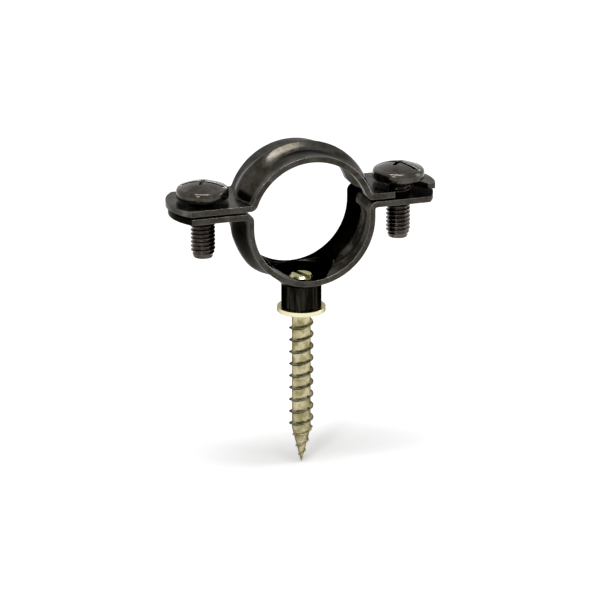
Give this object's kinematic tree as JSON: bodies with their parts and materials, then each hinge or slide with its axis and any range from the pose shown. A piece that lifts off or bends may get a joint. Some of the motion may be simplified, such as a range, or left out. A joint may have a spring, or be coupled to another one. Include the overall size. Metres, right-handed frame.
{
  "type": "pipe clamp on a hanger screw",
  "caption": "Two-part steel pipe clamp for one pipe, on a hanger screw: the beaded cap swings on a side screw and a slotted ear locks under a second screw.",
  "frame": {"origin": "middle of the pipe, half way across the band", "axes": "+Y along the pipe, +Z away from the wall along the hanger screw, +X towards the locking screw"},
  "size_m": [0.0668, 0.017, 0.0821],
  "materials": {
    "blackened_steel": "blackened, satin, lighter at worn edges",
    "black_boss": "black, satin",
    "yellow_zinc": "yellow passivated zinc, shiny",
    "dark_screw": "dark brown-grey, semi-gloss"
  },
  "bodies": {
    "stud": {"hanger_screw": "yellow_zinc"},
    "saddle": {"lower_half": "blackened_steel", "threaded_boss": "black_boss"},
    "cap": {"upper_half": "blackened_steel"},
    "pivot_screw": {"pivot_screw": "dark_screw"},
    "locking_screw": {"locking_screw": "dark_screw"}
  },
  "joints": [
    {"name": "clamp_turn", "type": "hinge", "parent": "stud", "child": "saddle", "pos_m": [0, 0, -0.02], "axis": [0, 0, 1], "range_deg": [0, 180]},
    {"name": "cap_swing", "type": "hinge", "parent": "saddle", "child": "cap", "pos_m": [-0.0247, 0, 0.005], "axis": [0, 0, 1], "range_deg": [0, 180]},
    {"name": "pivot_screw_travel", "type": "slide", "parent": "saddle", "child": "pivot_screw", "axis": [0, 0, 1], "range_m": [-0.0007, 0.009]},
    {"name": "locking_screw_travel", "type": "slide", "parent": "saddle", "child": "locking_screw", "axis": [0, 0, 1], "range_m": [-0.0008, 0.009]}
  ]
}
